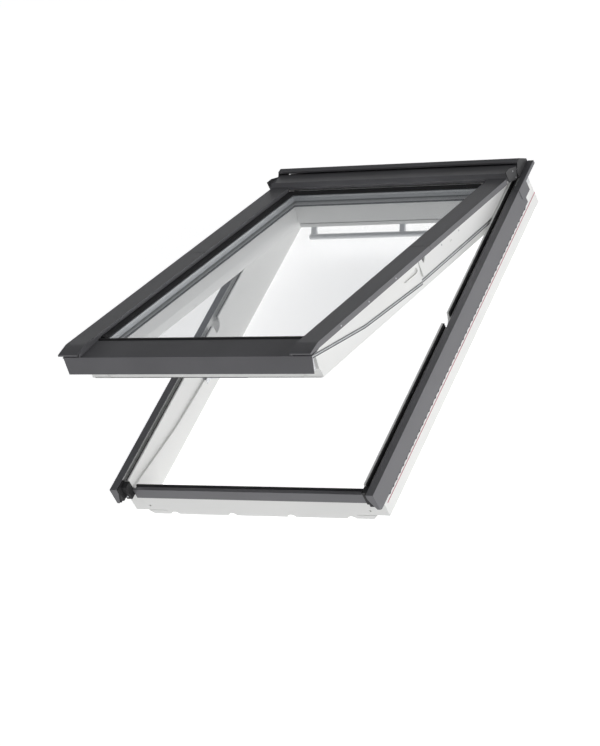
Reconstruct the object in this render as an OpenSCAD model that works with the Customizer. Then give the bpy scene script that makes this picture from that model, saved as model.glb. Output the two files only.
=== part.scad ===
// Top-hung roof window with centre pivot: frame, lifting arms, glazed sash.
// X runs across the window, Y up the roof slope, Z out of the roof.
// Z = 0 is the underside of the frame; the origin is the middle of its footprint.

/* [Frame] */
// Width over the timber frame
frame_w = 780; // [660:1:1140]
// Length over the timber frame, up the slope
frame_l = 1178; // [978:1:1400]
// Height from the timber underside to the top of the side covers
frame_h = 117; // [110:1:130]
// Height of the lining lip under the timber
lip_h = 14; // [8:1:20]
// Thickness of the frame timber beside the clear opening
frame_t = 31; // [26:1:45]
// Width of the ledge that the lower half of the sash closes on
ledge_w = 7; // [5:1:10]

/* [Covers] */
// Overhang of the side covers past the timber, sideways
cover_side = 12; // [8:1:20]
// Overhang of the side covers past the timber, at each end
cover_end = 38; // [30:1:50]
// Width of the top face of a frame side cover
cover_top_w = 22; // [18:1:26]
// Drop of the side face of a frame side cover
cover_drop = 58; // [40:1:64]
// Thickness of the cover sheet
sheet = 1.5; // [1:0.1:2]

/* [Sash] */
// Opening angle in which the window is shown
open_deg = 20.8; // [5:0.1:40]
// Overhang of the sash covers past the frame covers, at the lower end
sash_over = 12; // [0:1:20]
// Width of the top face of a sash side cover
sash_cover_w = 61; // [50:1:70]
// Height of the sash side covers above the frame covers
sash_rise = 18.5; // [16:0.5:24]
// Depth of the sash timber below the top of the frame covers
sash_depth = 91; // [80:1:95]
// Daylight reveal of the sash timber inside the glass edge
glass_bite = 24; // [18:1:30]
// Thickness of each pane
pane_t = 4; // [3:0.5:6]
// Gap between the panes
pane_gap = 16; // [10:1:18]

/* [Mechanism] */
// Distance of the top hinge from the upper end of the covers
hinge_back = 64; // [60:1:75]
// Radius of the hinge pins
hinge_pin_r = 6; // [4:0.5:7]
// Radius of the centre pivot pins
pivot_pin_r = 5; // [4:0.5:6]
// Radial clearance of a pin in its bore
pin_clear = 0.05; // [0.02:0.01:0.1]
// Thickness of the lifting arms
arm_t = 5.5; // [4:0.5:5.5]
// Spacing of the control bar brackets
bar_pitch = 245; // [200:1:262]
// Place of the middle bracket of the control bar
bar_mid = 43; // [0:1:60]

/* [Hidden] */
$fn = 48;
eps = 0.01;
touch = 0.03;                           // gap between resting faces

// ---- frame levels and half widths ----
cover_l = frame_l + 2 * cover_end;      // length over the side covers
zc = lip_h + frame_h;                   // top of the frame side covers
x_timber = frame_w / 2;
x_cover = x_timber + cover_side;
x_cover_in = x_cover - cover_top_w;     // inner edge of the frame cover, wall of the groove
x_face = x_timber - frame_t;            // inner face of the upper half of the stile
x_ledge = x_face - ledge_w;             // inner face below the ledge
rib_w = 5;                              // rib between the groove and the opening
x_rib = x_face + rib_w;
groove_d = 16;
s_lo = cover_end;                       // lower end of the timber, from the cover end
s_hi = cover_l - cover_end;
fit = 2;                                // running gap between sash and frame
ledge_end = 532;                        // where the ledge stops, for the sash to swing in

// ---- hinge and pivot ----
hinge_s = cover_l - hinge_back;
hinge_n = 0;
pivot_s = cover_l / 2 - 2;
pivot_n = 2;
seam_r = 26.5;                            // the lower covers end in an arc about the pivot
seam_gap = 1.5;
dish_s = pivot_s - 7;                   // the dish in the stile is open above this point

// ---- arms ----
x_arm = x_face - fit;                   // outer face of the arm
x_arm_in = x_arm - arm_t;
arm_flange_t = 3;

// ---- sash ----
x_narrow = x_arm_in - 2.5;              // half width beside the arms
x_wide = x_face - 3;                    // half width above the seal, lower half
x_seal = x_face - fit;                  // outer edge of the side seal
x_sash_cover = x_cover_in - 1;          // outer edge of the sash side cover
x_sash_in = x_sash_cover - sash_cover_w; // inner edge of the sash side cover
lip_n = 3;                              // lower edge of the sash cover lip
top_n = sash_rise;
under_n = top_n - sheet;                // underside of the sash cover sheet
pane_top = 2;                           // outer face of the outer pane
unit_h = 2 * pane_t + pane_gap;
bed_n = pane_top - unit_h;              // floor of the glazing rebate
x_rim = x_sash_in + sheet + 0.2;        // rim of the glazing rebate
x_unit = x_sash_in - 2;                 // half width of the glass unit
x_day = x_unit - glass_bite;            // inner face of the sash stile
s_unit_lo = 74;
s_unit_hi = s_hi - 91;
s_sash_hi = s_hi - 70;
s_rail_in = 112;                        // inner face of the sash bottom rail
s_top_in = s_sash_hi - 56;              // inner face of the sash top rail
s_top_frame = s_sash_hi + 14;           // inner face of the frame top rail
s_front = 0;                            // front of the sash bottom cover
s_kink = 31;                            // where the side cover begins to slope down

// The seal between sash and frame: height of its centre line at s
seal_line = [[22, -18], [290, -54], [600, -70]];
seal_h = 5;
function seal_part(i, s) = seal_line[i][1] + (s - seal_line[i][0])
  * (seal_line[i + 1][1] - seal_line[i][1]) / (seal_line[i + 1][0] - seal_line[i][0]);
function seal_n(s) = s < seal_line[1][0] ? seal_part(0, s)
  : s < seal_line[2][0] ? seal_part(1, s) : seal_line[2][1];
function seal_path(s0, s1, d) = concat(
  [[s0, seal_n(s0) + d]],
  [for (p = seal_line) if (p[0] > s0 && p[0] < s1) [p[0], p[1] + d]],
  [[s1, seal_n(s1) + d]]);
function reversed(v) = [for (i = [len(v) - 1:-1:0]) v[i]];

white = [0.93, 0.93, 0.92];
dark = [0.27, 0.27, 0.28];
black = [0.09, 0.09, 0.09];
silver = [0.72, 0.73, 0.74];

// Distances s run up the slope from the lower end of the covers
function Y(s) = s - cover_l / 2;
// Points of an arc about (s, n)
function arc(s, n, r, a0, a1, steps) =
  [for (i = [0:steps]) let (a = a0 + (a1 - a0) * i / steps) [s + r * cos(a), n + r * sin(a)]];

// Extrude a list of (s, n) points across X
module across(x0, x1, pts) {
  translate([x0, 0, 0]) rotate([90, 0, 90]) linear_extrude(x1 - x0)
    polygon([for (p = pts) [Y(p[0]), zc + p[1]]]);
}
// Extrude a list of (x, n) points along the slope
module along(s0, s1, pts) {
  translate([0, Y(s1), 0]) rotate([90, 0, 0]) linear_extrude(s1 - s0)
    polygon([for (p = pts) [p[0], zc + p[1]]]);
}
// Box from ranges of x, s and n
module block(x, s, n) {
  translate([x[0], Y(s[0]), zc + n[0]]) cube([x[1] - x[0], s[1] - s[0], n[1] - n[0]]);
}
// Cylinder along X about (s, n)
module rod(x0, x1, s, n, r) {
  translate([x0, Y(s), zc + n]) rotate([0, 90, 0]) cylinder(h = x1 - x0, r = r);
}
module on_side(side) {
  if (side > 0) children();
  else mirror([1, 0, 0]) children();
}
// Swing a closed piece about the top hinge to the shown opening
module opened() {
  translate([0, Y(hinge_s), zc + hinge_n]) rotate([-open_deg, 0, 0])
    translate([0, -Y(hinge_s), -zc - hinge_n]) children();
}

// ---------------- frame ----------------
front_hole_x = 338;
front_hole_n = -100;
front_hole_r = 3;
bracket_hole_n = -70;
bracket_hole_s = [160, 1094];
bracket_hole_r = 2.5;
// slit across the lower face, near each end
slit_d = 3;
slit_n = [-frame_h - 0.8, -frame_h + 1];

module frame_bottom_rail() {
  color(white) difference() {
    union() {
      across(-x_ledge, x_ledge, [[s_lo, -frame_h], [s_lo, -34], [50.5, -34], [50.5, -60], [57, -70],
        [58, -94], [76, -94], [76, -frame_h]]);
      lip_bar(s_lo, 1);
    }
    for (sx = [-1, 1])
      translate([sx * front_hole_x, Y(s_lo) - 1, zc + front_hole_n]) rotate([-90, 0, 0])
        cylinder(h = 15, r = front_hole_r);
    for (side = [-1, 1]) on_side(side)
      block([290, x_timber], [s_lo - 1, s_lo + slit_d], slit_n);
    for (i = [-1.5:1:1.5])
      translate([i * 181, Y(s_lo) - 1, -6]) rotate([-90, 0, 0]) cylinder(h = 30, r = 14);
  }
}
// Lip under a rail, with chamfered ends; dir is +1 away from the lower end
module lip_bar(s, dir) {
  translate([0, Y(s) + (dir > 0 ? 18 : 0), 0]) rotate([90, 0, 0]) linear_extrude(18)
    polygon([[-x_ledge + lip_h, 0], [x_ledge - lip_h, 0], [x_ledge, lip_h + eps],
      [-x_ledge, lip_h + eps]]);
}
module frame_top_rail() {
  color(white) difference() {
    union() {
      block([-x_face, x_face], [s_top_frame, s_hi], [-frame_h, -2]);
      lip_bar(s_hi - 26, 1);
    }
    for (side = [-1, 1]) on_side(side)
      block([x_arm_in - 2.5, x_face + 1], [s_top_frame - 1, hinge_s + 22], [-62, 5]);
  }
}
module frame_stile(side) {
  color(white) on_side(side) difference() {
    union() {
      along(s_lo, s_hi, [[x_timber, -frame_h], [x_timber, -sheet], [x_cover_in, -sheet],
        [x_cover_in, -groove_d], [x_rib, -groove_d], [x_rib, -1], [x_face, -1],
        [x_face, -frame_h]]);
      across(x_ledge, x_face + eps, concat([[s_lo, -frame_h]],
        seal_path(s_lo, ledge_end, -seal_h - 0.5), [[ledge_end - 12, -frame_h]]));
      block([x_face + 3, x_timber - 10], [s_lo + 39, s_hi - 39], [-frame_h - lip_h, -frame_h]);
    }
    // room for the lower covers as the sash turns about its pivot
    intersection() {
      rod(x_face - 1, x_cover_in, pivot_s, pivot_n, seam_r + 4.5);
      block([x_face - 2, x_cover_in + 1], [dish_s, pivot_s + 40], [-60, 20]);
    }
    // seats of the hinge bracket and the guide plate
    block([x_face - 1, x_face + 4], [hinge_s - 22, hinge_s + 22], [hinge_n - 40, 5]);
    block([x_ledge - 1, x_face], [guide_s, guide_s + guide_l], [guide_n, 5]);
    for (s = bracket_hole_s)
      rod(x_timber - 20, x_timber + 1, s, bracket_hole_n, bracket_hole_r);
  }
}
module frame_cover(side) {
  color(dark) on_side(side) {
    union() {
      block([x_cover_in, x_cover], [0, s_hi - 66], [-sheet, 0]);
      across(x_cover - sheet, x_cover, [[0, -cover_drop + 6], [0, 0], [s_hi - 66, 0],
        [s_hi - 66, -cover_drop], [8, -cover_drop]]);
      block([x_cover - 7, x_cover], [8, s_hi - 66], [-cover_drop, -cover_drop + sheet]);
      along(0, sheet, [[x_cover_in, -16], [x_cover_in, 0], [x_cover, 0],
        [x_cover, -cover_drop + 6], [x_cover - 8, -cover_drop + 6]]);
    }
  }
}
module frame_upper_cover(side) {
  x_out = x_cover + sheet + 0.1;
  x_in = x_cover - 16;
  s0 = s_hi - 86;
  color(dark) on_side(side) difference() {
    union() {
      block([x_in, x_out], [s0, cover_l], [0.1, 0.1 + sheet]);
      across(x_out - sheet, x_out, [[s0 + 8, -40], [s0, -30], [s0, 0.1 + sheet],
        [cover_l, 0.1 + sheet], [cover_l, -9], [s_hi - 36, -9], [s_hi - 36, -40]]);
      block([x_in, x_out], [cover_l - sheet, cover_l], [-9, 0.1 + sheet]);
      // foot on the timber
      block([x_timber - 4, x_timber], [s_hi - 60, s_hi], [-sheet, 0.2]);
    }
  }
}
module frame_bottom_cover() {
  s0 = s_lo - 6;
  color(dark) union() {
    across(-x_face, x_face, [[s0, -64], [s0, -34 + sheet], [s_lo, -34 + sheet], [s_lo, -34],
      [s0 + sheet, -34], [s0 + sheet, -64 + sheet], [s_lo, -64 + sheet], [s_lo, -64]]);
    block([-x_ledge, x_ledge], [s_lo - eps, 44], [-34, -34 + sheet]);
  }
}
module frame_top_cover() {
  color(dark) across(-x_cover + 17, x_cover - 17, [[s_hi, -26], [s_hi, -4],
    [s_hi + sheet, -4], [s_hi + sheet, -26 + sheet], [cover_l - 4, -26 + sheet],
    [cover_l - 4, -26]]);
}
// Double-lipped strip on the outer side of the rib
gasket_profile = [[x_rib, -groove_d], [x_rib + 2.2, -groove_d], [x_rib + 2.2, -12],
  [x_rib + 5, -9.5], [x_rib + 2.2, -9], [x_rib + 2.2, -6], [x_rib + 5, -3], [x_rib + 2.2, -2],
  [x_rib, -2]];
module frame_gasket(side) {
  color(black) on_side(side) {
    along(s_lo + 1, dish_s - 0.2, gasket_profile);
    along(pivot_s + seam_r + 5, s_hi, gasket_profile);
  }
}
module frame_bottom_gasket() {
  color(black) across(-x_ledge, x_ledge,
    [[44, -34], [44, -30], [46, -28.5], [49, -28.5], [51, -30], [51, -34]]);
}
module corner_block(side) {
  color(black) on_side(side) difference() {
    union() {
      block([x_cover_in - 3.5, x_cover - 2], [2, s_lo - 0.2], [-44, -2]);
      block([x_face + 0.5, x_cover_in - 3.5 + eps], [15, s_lo - 0.2], [-50, -7]);
    }
    translate([x_face + 12, Y(14), zc - 41]) rotate([-90, 0, 0]) cylinder(h = 8, r = 3.2);
  }
}
wave_pitch = 24;
wave_h = 3.2;
module wavy_strip(side) {
  s0 = 60;
  count = floor((s_hi - 90 - s0) / wave_pitch);
  color(black) on_side(side) across(x_cover - 3, x_cover - 0.4, concat(
    [for (i = [0:count], k = [0:2])
      [s0 + i * wave_pitch + k * wave_pitch / 4, -cover_drop - 2 - (k == 1 ? wave_h : 0)]],
    [[s0 + count * wave_pitch + 18, -cover_drop], [s0, -cover_drop]]));
}
module data_plate() {
  color("gainsboro") block([x_timber, x_timber + 0.8], [s_hi - 34, s_hi], [-40, -8]);
}
module hinge_bracket(side) {
  color(silver) on_side(side) difference() {
    block([x_face - 0.5, x_face + 4], [hinge_s - 22, hinge_s + 22], [hinge_n - 40, 10]);
    rod(x_face - 2, x_face + 5, hinge_s, hinge_n, hinge_pin_r + 0.02);
  }
}
module hinge_pins() {
  color(silver) for (side = [-1, 1]) on_side(side) {
    rod(x_arm_in - 0.5, x_face + 4, hinge_s, hinge_n, hinge_pin_r);
    rod(x_arm_in - 2, x_arm_in - 0.4, hinge_s, hinge_n, hinge_pin_r + 3);
  }
}
module frame_top_cap() {
  color(dark) union() {
    across(-x_cap, x_cap, [[hinge_s + 14.5, 35], [hinge_s + 14.5, 40.5],
      [hinge_s + 32, 38.5], [cover_l - 3, 12], [cover_l - 1, -24], [cover_l - 3.9, -24],
      [cover_l - 5, 11], [hinge_s + 31, 36.5], [hinge_s + 16.5, 38.3], [hinge_s + 16.5, 35]]);
    // end walls, standing on the stiles
    for (side = [-1, 1]) on_side(side)
      across(x_cap - eps, x_cap + 1.8, [[hinge_s - 6, -sheet + touch], [hinge_s - 6, 22],
        [hinge_s + 14.5, 38], [hinge_s + 14.5, 40.5], [hinge_s + 32, 38.5], [cover_l - 3, 12],
        [cover_l - 2.4, -sheet + touch]]);
  }
}
module red_line(side) {
  color([0.69, 0.38, 0.44]) on_side(side)
    block([x_timber, x_timber + 0.6], [s_lo + 14, s_hi], [-84, -81]);
}
module striker_plate() {
  color(silver) difference() {
    block([-26, 26], [76, 77.5], [-115, -97]);
    translate([0, Y(75), zc - 106]) rotate([-90, 0, 0]) cylinder(h = 5, r = 4);
  }
}
guide_s = 478;
guide_l = 42;
guide_n = -73.5;
module guide_plate(side) {
  color(silver) on_side(side) difference() {
    union() {
      block([x_face - 1.4, x_face], [guide_s, guide_s + guide_l], [guide_n, -47]);
      block([x_ledge - 1.4, x_face], [guide_s, guide_s + guide_l], [guide_n, guide_n + 1.4]);
      block([x_ledge - 1.4, x_ledge], [guide_s, guide_s + guide_l], [-86, guide_n + 1.4]);
    }
    for (s = [guide_s + 8, guide_s + 34]) rod(x_face - 3, x_face + 1, s, -55, 2.2);
  }
}
module frame_screws() {
  color(silver) for (side = [-1, 1]) on_side(side) {
    for (s = [guide_s + 8, guide_s + 34]) rod(x_face - 1.6, x_face, s, -55, 2.15);
    translate([x_face + 12, Y(15.5), zc - 41]) rotate([-90, 0, 0]) cylinder(h = 6.5, r = 3);
  }
}

// ---------------- arms and hood ----------------
arm_holes = [[pivot_s + 121, -19], [pivot_s + 224, -20]];
module arm(side) {
  opened() color(white) on_side(side) difference() {
    union() {
      difference() {
        across(x_arm_in, x_arm, [[pivot_s - 12, -20], [pivot_s - 2, -58], [s_hi - 70, -58],
          [hinge_s + 10, -18], [hinge_s + 12, 6], [hinge_s, 12], [hood_front, 12],
          [hood_front - 1, 14.5], [pivot_s + 5, 14.5], [pivot_s - 11, 4]]);
        // clearance for the turning covers, open to the right of the neck
        intersection() {
          difference() {
            rod(x_arm_in - 1, x_arm + 1, pivot_s, pivot_n, seam_r + seam_gap);
            rod(x_arm_in - 2, x_arm + 2, pivot_s, pivot_n, 11);
          }
          across(x_arm_in - 1, x_arm + 1, [[pivot_s, pivot_n], [pivot_s + 12, pivot_n - 32],
            [pivot_s + 32, pivot_n - 32], [pivot_s + 32, pivot_n + 32],
            [pivot_s - 32, pivot_n + 32], [pivot_s - 32, pivot_n + 1]]);
        }
      }
      rod(x_arm_in, x_arm, pivot_s, pivot_n, 11);
      rod(x_arm_in, x_arm, hinge_s, hinge_n, 15);
      block([x_sash_in + 3, x_sash_cover - 3], [pivot_s + seam_r + 3, hood_front - 1],
        [under_n - arm_flange_t, under_n]);
    }
    rod(x_arm_in - 1, x_arm + 1, pivot_s, pivot_n, pivot_pin_r + pin_clear);
    rod(x_arm_in - 1, x_arm + 1, hinge_s, hinge_n, hinge_pin_r + pin_clear);
    for (p = arm_holes) rod(x_arm - 2, x_arm + 1, p[0], p[1], 3);
    block([x_arm - 2, x_arm + 1], [pivot_s + 165, pivot_s + 177], [-29, -25]);
  }
}
hood_top = 33;
hood_front = hinge_s - 67.5;
hood_t = 2;
x_hood = x_cover_in + 0.5;
x_cap = x_cover_in + 4;
module hood() {
  opened() color(dark) across(-x_hood, x_hood, concat(
    [[hood_front, 12], [hood_front, 22], [hood_front + 6.5, hood_top - 0.4]],
    arc(hinge_s, hinge_n, hood_top, 100, 48, 8),
    arc(hinge_s, hinge_n, hood_top - hood_t, 48, 100, 8),
    [[hood_front + 7.5, hood_top - hood_t - 0.4], [hood_front + hood_t, 21.2],
      [hood_front + hood_t, 12 + hood_t], [hood_front + 16, 12 + hood_t],
      [hood_front + 16, 12]]));
}
hood_end_holes = [[hinge_s - 32, 27.5], [hinge_s - 20, 5]];
module hood_end(side) {
  opened() color(dark) on_side(side) difference() {
    across(x_hood + 0.1, x_hood + 3, [[hood_front - 6, 40], [hinge_s - 48, 41],
      [hinge_s - 8, 32], [hinge_s - 15, -1.2], [hood_front + 5, 7]]);
    for (p = hood_end_holes) rod(x_hood - 1, x_hood + 4, p[0], p[1], 2.5);
  }
}
module upper_cover(side) {
  s0 = pivot_s + 5;
  s1 = hood_front - 0.6;
  opened() color(dark) on_side(side) difference() {
    union() {
      block([x_sash_in, x_sash_cover], [s0, s1], [under_n, top_n]);
      block([x_sash_cover - sheet, x_sash_cover], [s0, s1], [lip_n, top_n]);
      block([x_sash_in, x_sash_in + sheet], [s0, s1], [6, top_n]);
    }
    rod(x_sash_in - 1, x_sash_cover + 1, pivot_s, pivot_n, seam_r + seam_gap);
  }
}
module hood_screws() {
  opened() color(silver) for (side = [-1, 1]) on_side(side) {
    for (p = hood_end_holes) rod(x_hood + 0.1, x_hood + 3.4, p[0], p[1], 2.4);
    for (p = arm_holes) rod(x_arm - 2, x_arm + 0.6, p[0], p[1], 2.9);
  }
}

// ---------------- sash ----------------
// Outline of the lower end of the sash timber, seen from the side
sash_toe = [[53, -37], [55, -64], [61, -70.6], [66, -87], [66, -sash_depth]];
module sash_bottom_rail() {
  opened() color(white) across(-x_day, x_day, concat(
    [[s_unit_lo - 3, bed_n], [s_unit_lo - 3, -3], [53, -4]], sash_toe,
    [[s_rail_in - 8, -sash_depth], [s_rail_in, -60], [s_rail_in, bed_n]]));
}
module sash_top_rail() {
  opened() color(white) difference() {
    across(-x_day, x_day, [[s_top_in, -78], [s_top_in, bed_n], [s_unit_hi + 2, bed_n],
      [s_unit_hi + 2, 8], [s_sash_hi, 8], [s_sash_hi, -78]]);
    block([-41, 41], [s_top_in + 9, s_top_in + 36], [-79, -45]);
  }
}
module sash_stile(side) {
  opened() color(white) on_side(side) difference() {
    union() {
      intersection() {
        along(50, s_sash_hi, [[x_day, bed_n], [x_rim, bed_n], [x_rim, 10],
          [x_narrow, 10], [x_narrow, -sash_depth], [x_day + 12, -sash_depth], [x_day, -60]]);
        across(x_day - 1, x_narrow + 1, concat([[53, 12]], sash_toe,
          [[s_sash_hi, -sash_depth], [s_sash_hi, 12]]));
      }
      across(x_narrow - eps, x_wide, concat([[pivot_s - 14, 10], [53, 10]],
        seal_path(53, pivot_s - 14, seal_h + 0.1)));
      block([x_rim, x_wide], [60, pivot_s - 35], [10 - eps, under_n - touch]);
      // closes the corner beside the bottom rail
      block([x_day, x_day + 14], [66, s_rail_in - 8], [-sash_depth, -59]);
    }
    // keep clear of the arm's neck and boss
    across(x_narrow, x_wide + 1, [[pivot_s - 14.5, 12], [pivot_s - 14.5, -20],
      [pivot_s - 4.5, -60], [pivot_s + 1, -66], [pivot_s + 1, 12]]);
    rod(x_narrow, x_wide + 1, pivot_s, pivot_n, 13);
    // slot of the pivot fitting
    for (s = [pivot_s - 97, pivot_s - 33]) rod(x_narrow + 2, x_wide + 1, s, -28, 8);
    block([x_narrow + 2, x_wide + 1], [pivot_s - 97, pivot_s - 33], [-36, -20]);
    rod(x_day - 1, x_day + 16, flap_s, flap_n, 3 + pin_clear);
  }
}
module pane(n) {
  translate([-x_unit, Y(s_unit_lo), zc + n]) cube([2 * x_unit, s_unit_hi - s_unit_lo, pane_t]);
}
module outer_pane() {
  opened() color([0.7, 0.85, 0.9, 0.35]) pane(pane_top - pane_t);
}
module inner_pane() {
  opened() color([0.7, 0.85, 0.9, 0.35]) pane(bed_n + touch);
}
module spacer_frame() {
  inset = 5;
  w = 9;
  opened() color(silver) difference() {
    block([-x_unit + inset, x_unit - inset], [s_unit_lo + inset, s_unit_hi - inset],
      [bed_n + pane_t + 2 * touch, pane_top - pane_t - touch]);
    block([-x_unit + inset + w, x_unit - inset - w],
      [s_unit_lo + inset + w, s_unit_hi - inset - w],
      [bed_n + pane_t - 1, pane_top - pane_t + 1]);
  }
}
bead_w = 17;
module glazing_gasket() {
  xo = x_sash_in - 0.5;
  xi = xo - bead_w;
  s1 = s_unit_hi - 2;
  n0 = pane_top + touch;
  bead = [[xo, n0], [xo, 8], [xo - 4, 9], [xo - 8, 8.4], [xo - 12, 6.4],
    [xo - 15.5, 3.6], [xi, n0]];
  opened() color(black) union() {
    for (side = [-1, 1]) on_side(side) along(102, s1, bead);
    across(-xo, xo, [[s1, n0], [s1, 8], [s1 - 4, 9], [s1 - 8, 8.4], [s1 - 12, 6.4],
      [s1 - 15.5, 3.6], [s1 - bead_w, n0]]);
    across(-xo, xo, [[86.3, n0], [86.3, 2.6], [88.3, 2.6], [89.5, 6.6], [96.5, 6.6], [102.1, n0]]);
    // inner seal, under the inner pane
    difference() {
      block([-x_day, x_day], [s_rail_in + touch, s_top_in - touch], [bed_n - 3.5, bed_n]);
      block([-x_day + 4.5, x_day - 4.5], [s_rail_in + 4.5, s_top_in - 4.5],
        [bed_n - 4, bed_n + 1]);
    }
  }
}
screw_s = [150, 300, 450];
module lower_cover(side) {
  tip_n = 7.5;
  s0 = -sash_over;
  s1 = pivot_s + seam_r;
  opened() color(dark) on_side(side) intersection() {
    union() {
      across(x_sash_in, x_sash_cover, [[s0, tip_n - sheet], [s0, tip_n], [s_kink, top_n],
        [s1, top_n], [s1, under_n], [s_kink, under_n]]);
      across(x_sash_cover - sheet, x_sash_cover, [[s0, lip_n], [s0, tip_n], [s_kink, top_n],
        [s1, top_n], [s1, lip_n]]);
      across(x_sash_in, x_sash_in + sheet, [[s0 + 8, 6], [s_kink, top_n], [s1, top_n], [s1, -1],
        [s_lo, -1], [s_lo, 0.5], [5, -3], [s0 + 8, -3.2]]);
      across(x_sash_in, x_sash_cover, [[s0, lip_n], [s0, tip_n], [s0 + sheet, tip_n],
        [s0 + sheet, lip_n]]);
    }
    difference() {
      union() {
        block([0, x_cover], [s0 - 1, pivot_s], [-10, 40]);
        rod(0, x_cover, pivot_s, pivot_n, seam_r);
      }
      for (s = screw_s) rod(x_sash_cover - 3, x_cover, s, 10, 2.1);
    }
  }
}
module sash_bottom_cover() {
  x_top = x_sash_cover - 5;
  x_low = x_top - 6;
  n_low = -52.5;
  back = 86;
  fold = [[s_front, n_low], [s_front, -7], [s_front - 2.5, -6.5], [s_front - 2.5, -4],
    [s_front, -3.9], [70, 3.7], [back, 3.9], [back, 3.9 - sheet], [70, 2.2],
    [s_front + sheet, -5.6],
    [s_front + sheet, n_low]];
  opened() color(dark) intersection() {
    union() {
      across(-x_sash_in + 0.5, x_sash_in - 0.5, fold);
      intersection() {
        across(-x_top, x_top, fold);
        block([-x_top, x_top], [-5, s_lo - 2], [n_low - 1, 10]);
      }
    }
    along(-5, back, [[-x_low, n_low], [x_low, n_low], [x_top, -4], [x_top, 10], [-x_top, 10],
      [-x_top, -4]]);
  }
}
module side_seal(side) {
  opened() color(silver) on_side(side) difference() {
    union() {
      across(x_wide, x_seal, concat(seal_path(24, pivot_s - 14, seal_h),
        reversed(seal_path(24, pivot_s - 14, -seal_h))));
      across(x_narrow, x_wide + eps, concat(seal_path(53, pivot_s - 14, seal_h),
        reversed(seal_path(53, pivot_s - 14, -seal_h))));
      across(x_narrow, x_ledge - 1.4, concat(seal_path(pivot_s - 14 - eps, s_sash_hi - 1, seal_h),
        reversed(seal_path(pivot_s - 14 - eps, s_sash_hi - 1, -seal_h))));
    }
    // shallow groove along the middle
    across(x_seal - 0.7, x_seal + 1, concat(seal_path(23, pivot_s, 1.8),
      reversed(seal_path(23, pivot_s, -1.8))));
  }
}
module bottom_seal() {
  opened() color(black) across(-x_narrow + 6, x_narrow - 6,
    [[67, -sash_depth - touch], [75, -sash_depth - touch], [74, -93.4],
      [68, -93.4]]);
}
module corner_plate(side) {
  opened() color(silver) on_side(side) across(x_sash_cover - 14, x_sash_cover - 12,
    [[s_front + 2, -47], [s_front + 2, -6.2], [s_lo - 2, -2.4], [s_lo - 2, -6.2], [13, -6.2], [13, -47]]);
}
module pivot_hinge(side) {
  opened() color(silver) on_side(side) union() {
    block([x_narrow, x_arm_in - 0.5], [pivot_s - 11, pivot_s + 16], [-20, 9.5]);
    rod(x_arm_in - 0.6, x_arm + 0.6, pivot_s, pivot_n, pivot_pin_r);
  }
}
module lock_case() {
  opened() color(silver) difference() {
    block([-40, 40], [s_top_in + 10, s_top_in + 35], [-77.5, -45.5]);
    block([-15, 15], [s_top_in + 16, s_top_in + 29], [-78, -64]);
  }
}
module sash_screws() {
  opened() color(silver) for (side = [-1, 1]) on_side(side)
    for (s = screw_s) rod(x_sash_cover - sheet - 0.1, x_sash_cover + 0.5, s, 10, 2);
}

// ---------------- ventilation flap ----------------
flap_s = s_sash_hi - 5;
flap_n = -85;
flap_t = 10;
module ventilation_flap() {
  opened() color(white) union() {
    block([-x_day + 2, x_day - 2], [s_top_in, flap_s], [flap_n - flap_t / 2, flap_n + flap_t / 2]);
    rod(-x_day + 2, x_day - 2, flap_s, flap_n, flap_t / 2);
    rod(-x_day - 12, x_day + 12, flap_s, flap_n, 3);
  }
}
bar_s = s_top_in - 7;
bar_n = -117;
bar_r = 8;
module control_bar() {
  n0 = flap_n - flap_t / 2;
  opened() color(white) union() {
    rod(-bar_pitch - 13, bar_pitch + 13, bar_s, bar_n, bar_r);
    for (x = [-bar_pitch, bar_mid, bar_pitch])
      across(x - 8, x + 8, concat([[bar_s - 5, bar_n + 4], [s_top_in, n0], [s_top_in + 20, n0]],
        arc(s_top_in + 18, n0 - 17, 17, 95, 180, 5), [[bar_s + 5, bar_n + 4]]));
  }
}

// ---------------- handle ----------------
handle_s = 96;
module handle_base() {
  opened() color(silver) union() {
    block([-32, 32], [handle_s - 7, handle_s + 7], [-sash_depth - 4, -sash_depth]);
    translate([0, Y(handle_s), zc - sash_depth - 7]) cylinder(h = 4, r = 6);
  }
}
module handle_grip() {
  opened() color(silver) difference() {
    union() {
      translate([0, Y(handle_s), zc - sash_depth - 13.5]) cylinder(h = 9, r = 7.4);
      block([0, 105], [handle_s - 6, handle_s + 6], [-sash_depth - 13.5, -sash_depth - 8.5]);
      translate([105, Y(handle_s), zc - sash_depth - 13.5]) cylinder(h = 5, r = 6);
    }
    translate([0, Y(handle_s), zc - sash_depth - 7.5]) cylinder(h = 6, r = 6 + pin_clear);
  }
}

frame_bottom_rail();
frame_top_rail();
frame_stile(-1);  // frame_left_stile
frame_stile(1);  // frame_right_stile
frame_cover(-1);  // frame_left_cover
frame_cover(1);  // frame_right_cover
frame_upper_cover(-1);  // frame_left_upper_cover
frame_upper_cover(1);  // frame_right_upper_cover
frame_bottom_cover();
frame_top_cover();
frame_gasket(-1);  // frame_left_gasket
frame_gasket(1);  // frame_right_gasket
frame_bottom_gasket();
corner_block(-1);  // corner_block_left
corner_block(1);  // corner_block_right
wavy_strip(-1);  // wavy_strip_left
wavy_strip(1);  // wavy_strip_right
red_line(-1);  // red_line_left
red_line(1);  // red_line_right
data_plate();
hinge_bracket(-1);  // hinge_bracket_left
hinge_bracket(1);  // hinge_bracket_right
hinge_pins();
frame_top_cap();
striker_plate();
guide_plate(-1);  // guide_plate_left
guide_plate(1);  // guide_plate_right
frame_screws();
arm(-1);  // arm_left
arm(1);  // arm_right
hood();
hood_end(-1);  // hood_end_left
hood_end(1);  // hood_end_right
upper_cover(-1);  // upper_cover_left
upper_cover(1);  // upper_cover_right
hood_screws();
sash_bottom_rail();
sash_top_rail();
sash_stile(-1);  // sash_left_stile
sash_stile(1);  // sash_right_stile
outer_pane();
inner_pane();
spacer_frame();
glazing_gasket();
lower_cover(-1);  // lower_cover_left
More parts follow.
